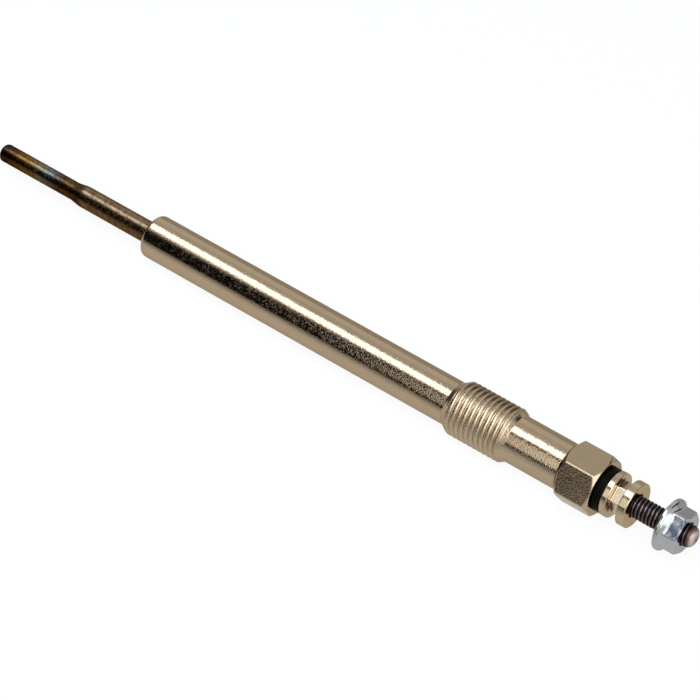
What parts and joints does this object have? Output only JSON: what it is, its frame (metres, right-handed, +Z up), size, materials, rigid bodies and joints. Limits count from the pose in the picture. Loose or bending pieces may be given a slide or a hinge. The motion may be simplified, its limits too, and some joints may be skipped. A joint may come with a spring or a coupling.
{
  "type": "diesel glow plug",
  "caption": "Long slim glow plug: swaged heater rod, plain shaft with a mounting thread and hex, and a threaded stud terminal with a flange nut.",
  "frame": {"origin": "on the plug's axis at the sealing seat, the front end of the shell", "axes": "+X along the axis from the heater tip to the terminal stud, +Z up with a flat of the hex facing down, as it lies on a table"},
  "size_m": [0.1492, 0.0116, 0.01],
  "materials": {
    "nickel_plated_steel": "satin nickel plating with a fine grain",
    "heat_tinted_alloy": "satin, heat tinted in bands towards the tip",
    "resistance_wire": "drawn wire",
    "nickel_wire": "drawn wire",
    "magnesia": "packed powder",
    "seal_rubber": "matt",
    "dark_steel": "dark brown-black oxide",
    "black_plastic": "smooth moulded",
    "gold_toned_nickel": "bright plated",
    "zinc_plated_steel": "bright zinc plating with a blue cast"
  },
  "bodies": {
    "root": {"shell": "nickel_plated_steel", "sheath_tube": "heat_tinted_alloy", "heating_coil": "resistance_wire", "control_coil": "nickel_wire", "magnesia_filling": "magnesia", "sheath_seal": "seal_rubber", "centre_electrode": "dark_steel", "o_ring": "seal_rubber", "insulating_bush": "black_plastic", "round_nut": "gold_toned_nickel", "flange_nut": "zinc_plated_steel"}
  },
  "joints": []
}
